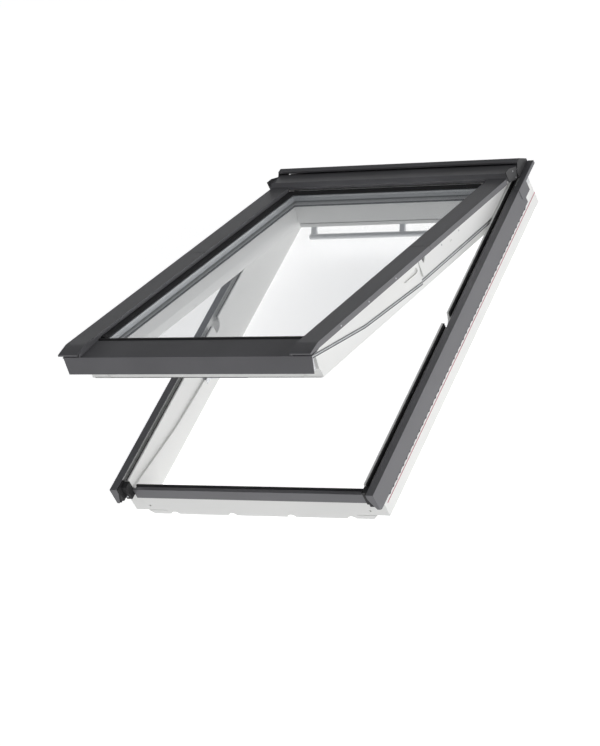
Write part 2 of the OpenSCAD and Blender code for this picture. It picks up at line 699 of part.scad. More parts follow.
lower_cover(1);  // lower_cover_right
sash_bottom_cover();
side_seal(-1);  // side_seal_left
side_seal(1);  // side_seal_right
bottom_seal();
corner_plate(-1);  // corner_plate_left
corner_plate(1);  // corner_plate_right
pivot_hinge(-1);  // pivot_hinge_left
pivot_hinge(1);  // pivot_hinge_right
lock_case();
sash_screws();
ventilation_flap();
control_bar();
handle_base();
handle_grip();
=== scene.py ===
"""Looks of a top-hung roof window: lacquered frame and sash, grey covers, glass, arms, flap and handle."""

import logging
import math
from dataclasses import dataclass, field
from enum import Enum
from typing import Iterable, Sequence

import bmesh
import bpy
from mathutils import Matrix, Vector

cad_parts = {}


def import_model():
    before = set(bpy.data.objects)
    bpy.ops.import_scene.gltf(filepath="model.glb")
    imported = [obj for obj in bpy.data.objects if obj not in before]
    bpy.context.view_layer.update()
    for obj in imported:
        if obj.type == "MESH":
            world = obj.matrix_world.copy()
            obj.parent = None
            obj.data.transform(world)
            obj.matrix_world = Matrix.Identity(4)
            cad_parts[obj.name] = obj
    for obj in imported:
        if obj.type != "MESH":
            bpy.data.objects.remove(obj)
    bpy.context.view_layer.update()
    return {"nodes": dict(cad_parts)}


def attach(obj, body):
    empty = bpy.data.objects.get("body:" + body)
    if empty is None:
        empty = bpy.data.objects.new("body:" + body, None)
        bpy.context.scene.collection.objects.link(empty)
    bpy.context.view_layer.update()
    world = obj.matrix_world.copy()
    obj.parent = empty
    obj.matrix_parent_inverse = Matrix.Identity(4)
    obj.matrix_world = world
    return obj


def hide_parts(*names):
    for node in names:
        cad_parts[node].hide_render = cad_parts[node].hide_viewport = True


LOG = logging.getLogger("roof_window")
Colour = tuple[float, float, float]
Point = tuple[float, float, float]
Span = tuple[float, float]

EVEN: Point = (1.0, 1.0, 1.0)
MIDDLE: Span = (0.3, 0.7)
SIDES = (-1.0, 1.0)


class Slot(Enum):
    """Material slots of the record."""

    WHITE_LACQUER = "white_lacquer"
    WHITE_STEEL = "white_steel"
    COVER_GREY = "cover_grey"
    BLACK_RUBBER = "black_rubber"
    GREY_SEAL = "grey_seal"
    BLACK_FOAM = "black_foam"
    RED_TAPE = "red_tape"
    LABEL_SHEET = "label_sheet"
    ZINC_STEEL = "zinc_steel"
    SPACER_METAL = "spacer_metal"
    CLEAR_GLASS = "clear_glass"
    BAR_ALUMINIUM = "bar_aluminium"


class Body(Enum):
    """Bodies of the frame that pieces ride on."""

    FRAME = "frame"
    ARMS = "arms"
    SASH = "sash"
    FLAP = "flap"
    HANDLE = "handle"


class Drive(Enum):
    """Recess of a screw head, as its number of lobes."""

    CROSS = 4
    STAR = 6


# ---------------------------------------------------------------- finishes


class Shader:
    """A material's node tree, with short calls that add and link nodes."""

    def __init__(self, name: str) -> None:
        """Starts an empty material with a Principled shader.

        Args:
            name: The material's name.
        """
        self.material = bpy.data.materials.new(name)
        self.material.use_nodes = True
        self.tree = self.material.node_tree
        self.tree.nodes.clear()
        self.output = self.tree.nodes.new("ShaderNodeOutputMaterial")
        self.principled = self.tree.nodes.new("ShaderNodeBsdfPrincipled")
        self.link(self.principled, "BSDF", self.output, "Surface")
        coords = self.tree.nodes.new("ShaderNodeTexCoord")
        self.coords = coords.outputs["Object"]

    def link(self, a: bpy.types.Node, out: str, b: bpy.types.Node, socket: str) -> None:
        """Links an output of one node to an input of another."""
        self.tree.links.new(a.outputs[out], b.inputs[socket])

    def noise(self, scale: float, detail: float, stretch: Point = EVEN) -> bpy.types.Node:
        """Adds noise over the object's own coordinates.

        Args:
            scale: Noise scale, per metre.
            detail: Octaves of the noise.
            stretch: Factors on the three axes.

        Returns:
            The noise node.
        """
        mapping = self.tree.nodes.new("ShaderNodeMapping")
        mapping.inputs["Scale"].default_value = stretch
        self.tree.links.new(self.coords, mapping.inputs["Vector"])
        node = self.tree.nodes.new("ShaderNodeTexNoise")
        node.inputs["Scale"].default_value = scale
        node.inputs["Detail"].default_value = detail
        self.link(mapping, "Vector", node, "Vector")
        return node

    def cells(self, scale: float) -> bpy.types.Node:
        """Adds a cell pattern over the object's own coordinates.

        Args:
            scale: Cells per metre.

        Returns:
            The Voronoi node.
        """
        node = self.tree.nodes.new("ShaderNodeTexVoronoi")
        node.inputs["Scale"].default_value = scale
        self.tree.links.new(self.coords, node.inputs["Vector"])
        return node

    def ramp(self, source: bpy.types.Node, out: str, values: Span, at: Span = MIDDLE) -> bpy.types.Node:
        """Maps a pattern to a range of values.

        Args:
            source: The pattern's node.
            out: Its output.
            values: Values at the low and the high end.
            at: Where the range begins and ends in the pattern.

        Returns:
            The Map Range node.
        """
        node = self.tree.nodes.new("ShaderNodeMapRange")
        for name, value in zip(("From Min", "From Max", "To Min", "To Max"), (*at, *values)):
            node.inputs[name].default_value = value
        self.link(source, out, node, "Value")
        return node

    def colours(self, source: bpy.types.Node, out: str, a: Colour, b: Colour) -> None:
        """Blends two colours by a pattern and feeds the shader's base colour.

        Args:
            source: The pattern's node.
            out: Its output.
            a: Colour at the low end.
            b: Colour at the high end.
        """
        node = self.tree.nodes.new("ShaderNodeValToRGB")
        for stop, place, colour in zip(node.color_ramp.elements, MIDDLE, (a, b)):
            stop.position = place
            stop.color = (*colour, 1.0)
        self.link(source, out, node, "Fac")
        self.link(node, "Color", self.principled, "Base Color")

    def bump(self, layers: Sequence[tuple[bpy.types.Node, str, float]], distance: float) -> None:
        """Stacks bump layers on the shader's normal.

        Args:
            layers: Node, its output, and the strength of each layer.
            distance: Height of a full step, in metres.
        """
        previous = None
        for node, out, strength in layers:
            bump = self.tree.nodes.new("ShaderNodeBump")
            bump.inputs["Strength"].default_value = strength
            bump.inputs["Distance"].default_value = distance
            self.link(node, out, bump, "Height")
            if previous is not None:
                self.link(previous, "Normal", bump, "Normal")
            previous = bump
        if previous is not None:
            self.link(previous, "Normal", self.principled, "Normal")

    def set(self, **values: float) -> None:
        """Sets constants on the shader's own sockets; underscores stand for spaces."""
        for name, value in values.items():
            self.principled.inputs[name.replace("_", " ")].default_value = value


@dataclass(frozen=True)
class CoverCoat:
    """Baked grey coat on aluminium sheet: a fine orange peel and a little chalking."""

    name: str = "cover_coat"
    base: Colour = (0.138, 0.137, 0.147)
    chalk: Colour = (0.160, 0.159, 0.170)
    roughness: float = 0.42

    def make(self) -> bpy.types.Material:
        """Builds the material."""
        s = Shader(self.name)
        cloud = s.noise(7.0, 5.0, (1.0, 0.35, 1.0))
        fine = s.noise(1400.0, 2.0)
        peel = s.noise(420.0, 2.0)
        s.colours(cloud, "Fac", self.base, self.chalk)
        rough = s.ramp(fine, "Fac", (self.roughness - 0.06, self.roughness + 0.12))
        s.link(rough, "Result", s.principled, "Roughness")
        s.bump([(peel, "Fac", 0.16), (fine, "Fac", 0.12)], 0.0004)
        s.set(Specular_IOR_Level=0.5)
        return s.material


@dataclass(frozen=True)
class WhiteLacquer:
    """Sprayed white lacquer over timber: the grain shows through as faint long ridges."""

    name: str = "white_lacquer"
    base: Colour = (0.86, 0.86, 0.85)
    warm: Colour = (0.90, 0.90, 0.885)
    grain_stretch: Point = (1.0, 0.02, 1.0)
    grain: float = 0.10
    roughness: Span = (0.34, 0.48)

    def make(self) -> bpy.types.Material:
        """Builds the material."""
        s = Shader(self.name)
        cloud = s.noise(3.0, 3.0)
        grain = s.noise(260.0, 3.0, self.grain_stretch)
        spray = s.noise(900.0, 2.0)
        s.colours(cloud, "Fac", self.base, self.warm)
        rough = s.ramp(grain, "Fac", self.roughness)
        s.link(rough, "Result", s.principled, "Roughness")
        s.bump([(grain, "Fac", self.grain), (spray, "Fac", 0.06)], 0.0003)
        s.set(Specular_IOR_Level=0.45, Coat_Weight=0.12, Coat_Roughness=0.25)
        return s.material


@dataclass(frozen=True)
class Rubber:
    """Extruded rubber: drawn lines, a dull bloom and no gloss."""

    name: str = "black_rubber"
    base: Colour = (0.010, 0.010, 0.011)
    bloom: Colour = (0.026, 0.026, 0.028)
    stretch: Point = (1.0, 0.05, 1.0)
    roughness: float = 0.62

    def make(self) -> bpy.types.Material:
        """Builds the material."""
        s = Shader(self.name)
        bloom = s.noise(38.0, 5.0)
        drawn = s.noise(900.0, 2.0, self.stretch)
        s.colours(bloom, "Fac", self.base, self.bloom)
        rough = s.ramp(bloom, "Fac", (self.roughness - 0.08, self.roughness + 0.14))
        s.link(rough, "Result", s.principled, "Roughness")
        s.bump([(drawn, "Fac", 0.25)], 0.0003)
        return s.material


@dataclass(frozen=True)
class Metal:
    """Bare metal with a drawn or spangled surface."""

    name: str = "zinc"
    base: Colour = (0.56, 0.57, 0.59)
    bright: Colour = (0.72, 0.73, 0.75)
    stretch: Point = (1.0, 1.0, 1.0)
    spangle: float = 0.0
    roughness: float = 0.3
    metallic: float = 1.0

    def make(self) -> bpy.types.Material:
        """Builds the material."""
        s = Shader(self.name)
        drawn = s.noise(700.0, 3.0, self.stretch)
        pattern: tuple[bpy.types.Node, str] = (drawn, "Fac")
        if self.spangle:
            pattern = (s.cells(self.spangle), "Color")
        s.colours(pattern[0], pattern[1], self.base, self.bright)
        rough = s.ramp(drawn, "Fac", (self.roughness - 0.06, self.roughness + 0.14))
        s.link(rough, "Result", s.principled, "Roughness")
        s.bump([(drawn, "Fac", 0.15)], 0.0002)
        s.set(Metallic=self.metallic)
        return s.material


@dataclass(frozen=True)
class Moulding:
    """Moulded or extruded plastic with a faint mottle."""

    name: str
    base: Colour
    light: Colour
    roughness: float = 0.5
    texture: float = 350.0
    depth: float = 0.18

    def make(self) -> bpy.types.Material:
        """Builds the material."""
        s = Shader(self.name)
        cloud = s.noise(24.0, 4.0)
        skin = s.noise(self.texture, 2.0)
        s.colours(cloud, "Fac", self.base, self.light)
        rough = s.ramp(skin, "Fac", (self.roughness - 0.07, self.roughness + 0.1))
        s.link(rough, "Result", s.principled, "Roughness")
        s.bump([(skin, "Fac", self.depth)], 0.0003)
        return s.material


@dataclass(frozen=True)
class PaneGlass:
    """Clear float glass: almost see-through face on, and mirror-like at a low angle."""

    name: str = "pane_glass"
    base: Colour = (0.82, 0.87, 0.94)
    tint: Colour = (0.86, 0.91, 0.97)
    face_on: float = 0.008
    grazing: float = 0.22
    turn: Span = (0.45, 1.0)

    def make(self) -> bpy.types.Material:
        """Builds the material."""
        s = Shader(self.name)
        wave = s.noise(5.0, 2.0)
        s.colours(wave, "Fac", self.base, self.tint)
        facing = s.tree.nodes.new("ShaderNodeLayerWeight")
        facing.inputs["Blend"].default_value = 0.5
        alpha = s.ramp(facing, "Facing", (self.face_on, self.grazing), self.turn)
        s.link(alpha, "Result", s.principled, "Alpha")
        s.bump([(wave, "Fac", 0.02)], 0.0005)
        s.set(Roughness=0.015, Specular_IOR_Level=0.7, IOR=1.5)
        return s.material


@dataclass
class Palette:
    """Every finish, made once and handed out by slot, plus a darker copy of the cover coat that paints shade
    on end faces.
    """

    made: dict[Slot, bpy.types.Material] = field(default_factory=dict)
    # darker copy of the cover coat: painted shade for end faces that stand in shadow
    shade_coat: bpy.types.Material | None = None

    def build(self) -> None:
        """Makes the finishes."""
        finishes = {
            Slot.COVER_GREY: CoverCoat(),
            Slot.WHITE_LACQUER: WhiteLacquer(),
            Slot.WHITE_STEEL: WhiteLacquer("white_steel", (0.84, 0.84, 0.83), (0.88, 0.88, 0.87), EVEN, 0.05),
            Slot.BLACK_RUBBER: Rubber(),
            Slot.GREY_SEAL: Moulding(
                "grey_seal", (0.50, 0.51, 0.52), (0.58, 0.59, 0.60), texture=500.0, depth=0.15),
            Slot.BLACK_FOAM: Moulding(
                "black_strip", (0.018, 0.018, 0.02), (0.05, 0.05, 0.053), 0.7, texture=300.0, depth=0.5),
            Slot.RED_TAPE: Moulding(
                "red_tape", (0.55, 0.22, 0.26), (0.62, 0.27, 0.31), 0.4, texture=600.0, depth=0.1),
            Slot.LABEL_SHEET: Metal(
                "bare_plate", (0.62, 0.63, 0.64), (0.72, 0.73, 0.74), (1.0, 0.05, 1.0),
                roughness=0.38, metallic=0.7),
            Slot.ZINC_STEEL: Metal("zinc_steel", spangle=240.0),
            Slot.SPACER_METAL: Metal(
                "spacer_metal", (0.70, 0.72, 0.74), (0.82, 0.84, 0.86), (0.2, 0.2, 1.0),
                roughness=0.45, metallic=0.25),
            Slot.CLEAR_GLASS: PaneGlass(),
            Slot.BAR_ALUMINIUM: Metal(
                "bar_aluminium", (0.70, 0.71, 0.73), (0.80, 0.81, 0.83), (0.04, 1.0, 1.0),
                roughness=0.38, metallic=0.3),
        }
        for slot, finish in finishes.items():
            self.made[slot] = finish.make()
        # A darker copy of the grey cover coat: painted shade, not a finish of its own
        self.shade_coat = CoverCoat("painted_shade_coat", (0.045, 0.045, 0.047), (0.062, 0.062, 0.064), 0.5).make()

    def of(self, slot: Slot) -> bpy.types.Material:
        """The finish of a slot."""
        return self.made[slot]


# ---------------------------------------------------------------- building tools


@dataclass(frozen=True)
class Edge:
    """Rounding of a piece's edges."""

    width: float
    segments: int = 2
    angle: float = math.radians(28)


SHEET = Edge(0.00045)
TIMBER = Edge(0.0014, 3)
SMALL = Edge(0.0004)
PLATE = Edge(0.0007)
GRIP = Edge(0.0012, 3)
PANE = Edge(0.0003, 1)
FOIL = Edge(0.0002, 1)
TAPE = Edge(0.0001, 1)

FOLD = math.radians(9)
CREASE = math.radians(40)
FLAT = math.radians(0.4)
MERGE = 1e-6
BIG_FACE_WEIGHT = 90


def finish_piece(obj: bpy.types.Object, body: Body, slot: Slot,
                 stands_for: Iterable[str] = ()) -> bpy.types.Object:
    """Seats a finished piece on its body and names its slot.

    Args:
        obj: The piece, in place.
        body: The body it rides on.
        slot: The record's slot of its finish.
        stands_for: CAD nodes that it stands for.

    Returns:
        The same piece.
    """
    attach(obj, body.value)
    for node in stands_for:
        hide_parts(node)
    LOG.info("%s rides on %s in %s", obj.name, body.value, slot.value)
    return obj


def new_object(name: str, mesh: bpy.types.Mesh) -> bpy.types.Object:
    """Links a new object for a mesh."""
    obj = bpy.data.objects.new(name, mesh)
    bpy.context.scene.collection.objects.link(obj)
    return obj


def baked(obj: bpy.types.Object, name: str) -> bpy.types.Object:
    """Turns an object with live modifiers into a plain mesh object.

    Args:
        obj: The object; it is removed.
        name: The plain object's name.

    Returns:
        The plain object, at the origin.
    """
    bpy.context.view_layer.update()
    evaluated = obj.evaluated_get(bpy.context.evaluated_depsgraph_get())
    mesh = bpy.data.meshes.new_from_object(evaluated)
    bpy.data.objects.remove(obj)
    mesh.name = name
    return new_object(name, mesh)


def sharpen(work: bmesh.types.BMesh, low: float, high: float) -> None:
    """Marks every edge that folds between two angles as sharp.

    Args:
        work: The mesh.
        low: Smallest fold that counts.
        high: Largest fold that counts.
    """
    for edge in work.edges:
        if len(edge.link_faces) == 2 and low < edge.calc_face_angle(0.0) <= high:
            edge.smooth = False


def rounded_copy(nodes: dict[str, bpy.types.Object], node: str, edge: Edge,
                 material: bpy.types.Material) -> bpy.types.Object:
    """Copies a CAD node with merged faces and rounded edges.

    Args:
        nodes: The CAD nodes.
        node: The node to copy.
        edge: The rounding.
        material: The finish.

    Returns:
        The copy, with no modifiers.
    """
    mesh = nodes[node].data.copy()
    work = bmesh.new()
    work.from_mesh(mesh)
    bmesh.ops.remove_doubles(work, verts=work.verts, dist=MERGE)
    bmesh.ops.dissolve_limit(work, angle_limit=FLAT, verts=work.verts, edges=work.edges)
    sharpen(work, FOLD, edge.angle)
    work.to_mesh(mesh)
    work.free()
    mesh.materials.clear()
    mesh.materials.append(material)
    for face in mesh.polygons:
        face.use_smooth = True
        face.material_index = 0
    obj = new_object(node + "_raw", mesh)
    bevel = obj.modifiers.new("rounding", "BEVEL")
    bevel.width = edge.width
    bevel.segments = edge.segments
    bevel.limit_method = "ANGLE"
    bevel.angle_limit = edge.angle
    bevel.use_clamp_overlap = True
    rounded = baked(obj, node + "_rounded")
    work = bmesh.new()
    work.from_mesh(rounded.data)
    sharpen(work, CREASE, math.pi)
    work.to_mesh(rounded.data)
    work.free()
    weights = rounded.modifiers.new("weights", "WEIGHTED_NORMAL")
    weights.keep_sharp = True
    weights.weight = BIG_FACE_WEIGHT
    return baked(rounded, node + "_skin")


def ring_mesh(name: str, profile: Sequence[Span], lobes: int, depth: float,
              steps: int = 24) -> bpy.types.Mesh:
    """Turns a head profile into a mesh, with a lobed recess in the middle.

    Args:
        name: The mesh's name.
        profile: Radius and height pairs, from the rim to the edge of the recess.
        lobes: Lobes of the recess.
        depth: Depth of the recess.
        steps: Steps round the head.

    Returns:
        The head, standing along +Z.
    """
    work = bmesh.new()
    rings = []
    turns = [2 * math.pi * i / steps for i in range(steps)]
    r_in, h_in = profile[-1]
    for r, h in profile:
        rings.append([work.verts.new((r * math.cos(a), r * math.sin(a), h)) for a in turns])
    for drop, shrink in ((0.0, 1.0), (depth, 0.8)):
        ring = []
        for a in turns:
            r = r_in * shrink * (0.62 + 0.3 * math.cos(lobes * a))
            ring.append(work.verts.new((r * math.cos(a), r * math.sin(a), h_in - drop)))
        rings.append(ring)
    for lower, upper in zip(rings, rings[1:]):
        for i in range(steps):
            j = (i + 1) % steps
            work.faces.new((lower[i], lower[j], upper[j], upper[i]))
    work.faces.new(rings[-1])
    bmesh.ops.recalc_face_normals(work, faces=work.faces)
    mesh = bpy.data.meshes.new(name)
    work.to_mesh(mesh)
    work.free()
    for face in mesh.polygons:
        face.use_smooth = True
    mesh.set_sharp_from_angle(angle=math.radians(35))
    return mesh


@dataclass
class ScatterTree:
    """A Geometry Nodes tree that sets one head on every point of a mesh, turned the point's own way."""

    name: str
    head: bpy.types.Object
    material: bpy.types.Material

    def build(self) -> bpy.types.NodeTree:
        """Builds the tree: points, one instance on each, realised, with its finish."""
        tree = bpy.data.node_groups.new(self.name, "GeometryNodeTree")
        tree.interface.new_socket("Geometry", in_out="INPUT", socket_type="NodeSocketGeometry")
        size = tree.interface.new_socket("Size", in_out="INPUT", socket_type="NodeSocketFloat")
        size.default_value = 1.0
        tree.interface.new_socket("Geometry", in_out="OUTPUT", socket_type="NodeSocketGeometry")
        add = tree.nodes.new
        start, end = add("NodeGroupInput"), add("NodeGroupOutput")
        info = add("GeometryNodeObjectInfo")
        info.inputs["Object"].default_value = self.head
        points = add("GeometryNodeMeshToPoints")
        facing = add("GeometryNodeInputNamedAttribute")
        facing.data_type = "FLOAT_VECTOR"
        facing.inputs["Name"].default_value = "facing"
        align = add("FunctionNodeAlignRotationToVector")
        align.axis = "Z"
        place = add("GeometryNodeInstanceOnPoints")
        real = add("GeometryNodeRealizeInstances")
        dress = add("GeometryNodeSetMaterial")
        dress.inputs["Material"].default_value = self.material
        link = tree.links.new
        link(start.outputs["Geometry"], points.inputs["Mesh"])
        link(points.outputs[0], place.inputs["Points"])
        link(info.outputs["Geometry"], place.inputs["Instance"])
        link(facing.outputs["Attribute"], align.inputs["Vector"])
        link(align.outputs[0], place.inputs["Rotation"])
        link(start.outputs["Size"], place.inputs["Scale"])
        link(place.outputs[0], real.inputs[0])
        link(real.outputs[0], dress.inputs["Geometry"])
        link(dress.outputs[0], end.inputs["Geometry"])
        return tree


def scatter(name: str, points: Sequence[Vector], facings: Sequence[Sequence[float]], head: bpy.types.Mesh,
            material: bpy.types.Material, size: float = 1.0) -> bpy.types.Object:
    """Sets a head on every point.

    Args:
        name: The finished object's name.
        points: Where the heads stand.
        facings: The way each head faces.
        head: The head's mesh, standing along +Z.
        material: The finish.
        size: Scale of the heads.

    Returns:
        One plain mesh object with every head.
    """
    source = new_object(name + "_head", head)
    mesh = bpy.data.meshes.new(name)
    mesh.from_pydata([tuple(p) for p in points], [], [])
    layer = mesh.attributes.new("facing", "FLOAT_VECTOR", "POINT")
    for item, way in zip(layer.data, facings):
        item.vector = way
    obj = new_object(name + "_points", mesh)
    tree = ScatterTree(name + "_tree", source, material).build()
    modifier = obj.modifiers.new("heads", "NODES")
    modifier.node_group = tree
    for item in tree.interface.items_tree:
        if item.item_type == "SOCKET" and item.in_out == "INPUT" and item.name == "Size":
            modifier[item.identifier] = size
    done = baked(obj, name)
    bpy.data.objects.remove(source)
    if not done.data.materials:
        done.data.materials.append(material)
    return done


# ---------------------------------------------------------------- the window's own geometry


@dataclass(frozen=True)
class Layout:
    """Where things are: the cover's length, the level of its top, and the hinge that the window opens on."""

    length: float = 1.254
    level: float = 0.131
    hinge_y: float = 1.190
    open_angle: float = math.radians(20.8)

    def closed(self, x: float, s: float, n: float) -> Vector:
        """A point given by its place across, up the slope and above the covers, all in metres."""
        return Vector((x, s - self.length / 2, self.level + n))

    def opened(self, x: float, s: float, n: float) -> Vector:
        """A point of the sash or the arms, given as it lies closed, in its shown place."""
        hinge = self.closed(0.0, self.hinge_y, 0.0)
        turn = Matrix.Rotation(-self.open_angle, 3, "X")
        return hinge + turn @ (self.closed(x, s, n) - hinge)

    def turned(self, way: Point) -> Vector:
        """A direction of the sash or the arms in its shown place."""
        return Matrix.Rotation(-self.open_angle, 3, "X") @ Vector(way)


@dataclass
class SubAssembly:
    """A group of CAD nodes on one body, dressed one by one."""

    nodes: dict[str, bpy.types.Object]
    palette: Palette
    layout: Layout
    body: Body = Body.FRAME

    def dress(self, slot: Slot, edge: Edge, names: Iterable[str],
              coat: bpy.types.Material | None = None) -> list[bpy.types.Object]:
        """Replaces each node with its rounded copy.

        Args:
            slot: The finish.
            edge: The rounding.
            names: The nodes.
            coat: A darker copy of the finish that paints shade, to use instead of the slot's own.

        Returns:
            The copies.
        """
        skins = []
        for name in names:
            skin = rounded_copy(self.nodes, name, edge, coat or self.palette.of(slot))
            skins.append(finish_piece(skin, self.body, slot, [name]))
        return skins

    def screws(self, name: str, points: Sequence[Vector], facings: Sequence[Point], radius: float,
               drive: Drive, stands_for: Iterable[str] = ()) -> None:
        """Sets screw heads.

        Args:
            name: The piece's name.
            points: Feet of the heads.
            facings: The way each faces.
            radius: Radius of a head.
            drive: The recess.
            stands_for: CAD nodes that the heads stand for.
        """
        r = radius
        profile = [(r, 0.0), (r, 0.12 * r), (0.93 * r, 0.24 * r), (0.78 * r, 0.33 * r), (0.6 * r, 0.37 * r)]
        head = ring_mesh(name + "_shape", profile, drive.value, 0.3 * r)
        obj = scatter(name, points, facings, head, self.palette.of(Slot.ZINC_STEEL))
        finish_piece(obj, self.body, Slot.ZINC_STEEL, stands_for)


@dataclass
class FrameAssembly(SubAssembly):
    """The fixed frame: four timbers, its covers, gaskets, corner blocks and fittings."""

    # faces turned further along X than this take the darker coat, painted shade
    shaded_end_facing: float = 0.9
    screw_radius: float = 0.003
    guide_x: float = 0.3578
    guide_s: tuple[float, ...] = (0.486, 0.512)
    guide_n: float = -0.055
    guide_screw_r: float = 0.0022
    block_x: float = 0.371
    block_s: float = 0.0156
    block_n: float = -0.041

    def build(self) -> None:
        """Builds every piece of the frame."""
        self.dress(Slot.WHITE_LACQUER, TIMBER, (
            "frame_bottom_rail", "frame_top_rail", "frame_left_stile", "frame_right_stile"))
        self.dress(Slot.COVER_GREY, SHEET, (
            "frame_left_cover", "frame_right_cover", "frame_left_upper_cover", "frame_right_upper_cover",
            "frame_bottom_cover", "frame_top_cover"))
        # The cap's end walls, faces turned along ±X, get the darker coat: painted shade where they stand in
        # shadow.
        for cap in self.dress(Slot.COVER_GREY, SHEET, ("frame_top_cap",)):
            cap.data.materials.append(self.palette.shade_coat)
            for face in cap.data.polygons:
                face.material_index = int(abs(face.normal.x) > self.shaded_end_facing)
        self.dress(Slot.BLACK_RUBBER, SMALL, (
            "frame_left_gasket", "frame_right_gasket", "frame_bottom_gasket", "corner_block_left",
            "corner_block_right"))
        self.dress(Slot.BLACK_FOAM, SMALL, ("wavy_strip_left", "wavy_strip_right"))
        self.dress(Slot.RED_TAPE, TAPE, ("red_line_left", "red_line_right"))
        self.dress(Slot.LABEL_SHEET, FOIL, ("data_plate",))
        self.dress(Slot.ZINC_STEEL, SMALL, (
            "hinge_bracket_left", "hinge_bracket_right", "hinge_pins", "striker_plate", "guide_plate_left",
            "guide_plate_right"))
        place = self.layout.closed
        feet = [place(side * self.guide_x, s, self.guide_n) for side in SIDES for s in self.guide_s]
        self.screws("guide_screw_heads", feet, [(-side, 0.0, 0.0) for side in SIDES for _ in self.guide_s],
                    self.guide_screw_r, Drive.CROSS, ["frame_screws"])
        feet = [place(side * self.block_x, self.block_s, self.block_n) for side in SIDES]
        self.screws("block_screw_heads", feet, [(0.0, -1.0, 0.0)] * 2, self.screw_radius, Drive.CROSS)


@dataclass
class ArmAssembly(SubAssembly):
    """The two lifting arms with the hood, its ends and the upper side covers."""

    body: Body = Body.ARMS
    hood_x: float = 0.3828
    hood_holes: tuple[Span, ...] = ((1.158, 0.0275), (1.170, 0.005))
    hood_screw_r: float = 0.0024
    arm_x: float = 0.3568
    arm_holes: tuple[Span, ...] = ((0.746, -0.019), (0.849, -0.020))
    arm_screw_r: float = 0.0029

    def build(self) -> None:
        """Builds every piece that turns on the top hinge."""
        self.dress(Slot.WHITE_STEEL, PLATE, ("arm_left", "arm_right"))
        self.dress(Slot.COVER_GREY, SHEET, ("hood", "upper_cover_left", "upper_cover_right"))
        # The hood ends take the darker coat: painted shade for ends that stand in shadow.
        self.dress(Slot.COVER_GREY, SHEET, ("hood_end_left", "hood_end_right"), self.palette.shade_coat)
        place = self.layout.opened
        feet = [place(side * self.hood_x, s, n) for side in SIDES for s, n in self.hood_holes]
        self.screws("hood_screw_heads", feet, [(side, 0.0, 0.0) for side in SIDES for _ in self.hood_holes],
                    self.hood_screw_r, Drive.STAR, ["hood_screws"])
        feet = [place(side * self.arm_x, s, n) for side in SIDES for s, n in self.arm_holes]
        self.screws("arm_screw_heads", feet, [(side, 0.0, 0.0) for side in SIDES for _ in self.arm_holes],
                    self.arm_screw_r, Drive.STAR)


